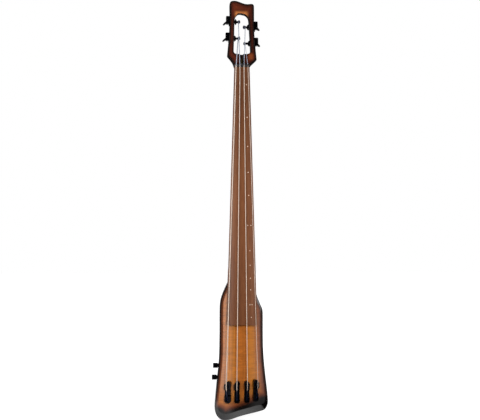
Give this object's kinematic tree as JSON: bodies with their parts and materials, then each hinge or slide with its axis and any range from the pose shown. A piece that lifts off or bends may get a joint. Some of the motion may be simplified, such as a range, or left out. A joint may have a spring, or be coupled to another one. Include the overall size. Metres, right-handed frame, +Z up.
{
  "type": "electric upright bass",
  "caption": "Slim fretless electric upright bass with arched body and fingerboard, open headstock window, geared tuners and separate single-string bridges.",
  "frame": {"origin": "middle of the stand plate's outer face on the body's back", "axes": "+Z up along the strings towards the headstock, +Y backward out of the back, +X to the right as seen from the front"},
  "size_m": [0.1543, 0.0827, 1.1544],
  "materials": {
    "maple_cap": "gloss burst over flamed maple",
    "mahogany": "gloss dark edge",
    "neck_wood": "satin neck, gloss burst headstock face",
    "board_wood": "oiled brown fingerboard with position marks",
    "nut_black": "dark composite",
    "string_steel": "flat-wound strings",
    "black_metal": "satin black",
    "steel": "plain",
    "brass": "machined",
    "black_plastic": "fine grain",
    "board_green": "circuit board",
    "battery_shell": "plain",
    "ceramic": "bare"
  },
  "bodies": {
    "instrument": {"body_top": "maple_cap", "body_back": "mahogany", "neck": "neck_wood", "fingerboard": "board_wood", "nut": "nut_black", "truss_rod": "steel", "control_cover": "black_plastic", "preamp_board": "board_green", "battery_box": "black_plastic", "door_pin": "steel", "battery": "battery_shell", "output_jack": "black_metal", "stand_plate": "steel", "string_e": "string_steel", "bridge_rail_e": "black_metal", "piezo_e": "ceramic", "saddle_e": "brass", "tuner_housing_e": "black_metal", "tuner_bushing_e": "black_metal", "string_a": "string_steel", "bridge_rail_a": "black_metal", "piezo_a": "ceramic", "saddle_a": "brass", "tuner_housing_a": "black_metal", "tuner_bushing_a": "black_metal", "string_d": "string_steel", "bridge_rail_d": "black_metal", "piezo_d": "ceramic", "saddle_d": "brass", "tuner_housing_d": "black_metal", "tuner_bushing_d": "black_metal", "string_g": "string_steel", "bridge_rail_g": "black_metal", "piezo_g": "ceramic", "saddle_g": "brass", "tuner_housing_g": "black_metal", "tuner_bushing_g": "black_metal", "volume_pot": "steel", "tone_pot": "steel"},
    "truss_nut": {"truss_nut": "brass"},
    "battery_flap": {"battery_door": "black_plastic"},
    "key_e": {"tuner_key_e": "black_metal"},
    "post_e": {"tuner_post_e": "black_metal"},
    "key_a": {"tuner_key_a": "black_metal"},
    "post_a": {"tuner_post_a": "black_metal"},
    "key_d": {"tuner_key_d": "black_metal"},
    "post_d": {"tuner_post_d": "black_metal"},
    "key_g": {"tuner_key_g": "black_metal"},
    "post_g": {"tuner_post_g": "black_metal"},
    "volume_control": {"volume_knob": "black_metal", "volume_shaft": "steel"},
    "tone_control": {"tone_knob": "black_metal", "tone_shaft": "steel"}
  },
  "joints": [
    {"name": "key_turn_e", "type": "hinge", "parent": "instrument", "child": "key_e", "pos_m": [-0.0385, -0.04378, 0.85994], "axis": [0, 0.9962, -0.0872], "continuous": true},
    {"name": "post_turn_e", "type": "hinge", "parent": "instrument", "child": "post_e", "pos_m": [0, -0.04451, 0.85167], "axis": [1, 0, 0], "continuous": true},
    {"name": "key_turn_a", "type": "hinge", "parent": "instrument", "child": "key_a", "pos_m": [-0.037, -0.03977, 0.90586], "axis": [0, 0.9962, -0.0872], "continuous": true},
    {"name": "post_turn_a", "type": "hinge", "parent": "instrument", "child": "post_a", "pos_m": [0, -0.04049, 0.89759], "axis": [1, 0, 0], "continuous": true},
    {"name": "key_turn_d", "type": "hinge", "parent": "instrument", "child": "key_d", "pos_m": [0.03955, -0.04104, 0.89132], "axis": [0, 0.9962, -0.0872], "continuous": true},
    {"name": "post_turn_d", "type": "hinge", "parent": "instrument", "child": "post_d", "pos_m": [0, -0.04176, 0.88305], "axis": [1, 0, 0], "continuous": true},
    {"name": "key_turn_g", "type": "hinge", "parent": "instrument", "child": "key_g", "pos_m": [0.04063, -0.04498, 0.84629], "axis": [0, 0.9962, -0.0872], "continuous": true},
    {"name": "post_turn_g", "type": "hinge", "parent": "instrument", "child": "post_g", "pos_m": [0, -0.0457, 0.83802], "axis": [1, 0, 0], "continuous": true},
    {"name": "volume_turn", "type": "hinge", "parent": "instrument", "child": "volume_control", "pos_m": [-0.06397, -0.017, -0.0485], "axis": [-1, 0, 0], "range_deg": [-150, 150]},
    {"name": "tone_turn", "type": "hinge", "parent": "instrument", "child": "tone_control", "pos_m": [-0.06722, -0.017, -0.081], "axis": [-1, 0, 0], "range_deg": [-150, 150]},
    {"name": "truss_nut_turn", "type": "hinge", "parent": "instrument", "child": "truss_nut", "pos_m": [0, -0.0562, 0.7808], "axis": [0, 0, 1], "range_deg": [-360, 360]},
    {"name": "battery_door_hinge", "type": "hinge", "parent": "instrument", "child": "battery_flap", "pos_m": [0.039, -0.002, -0.0462], "axis": [1, 0, 0], "range_deg": [0, 100]}
  ],
  "couplings": [
    {"joint": "post_turn_e", "follows": "key_turn_e", "ratio": 0.05},
    {"joint": "post_turn_a", "follows": "key_turn_a", "ratio": 0.05},
    {"joint": "post_turn_d", "follows": "key_turn_d", "ratio": 0.05},
    {"joint": "post_turn_g", "follows": "key_turn_g", "ratio": 0.05}
  ]
}
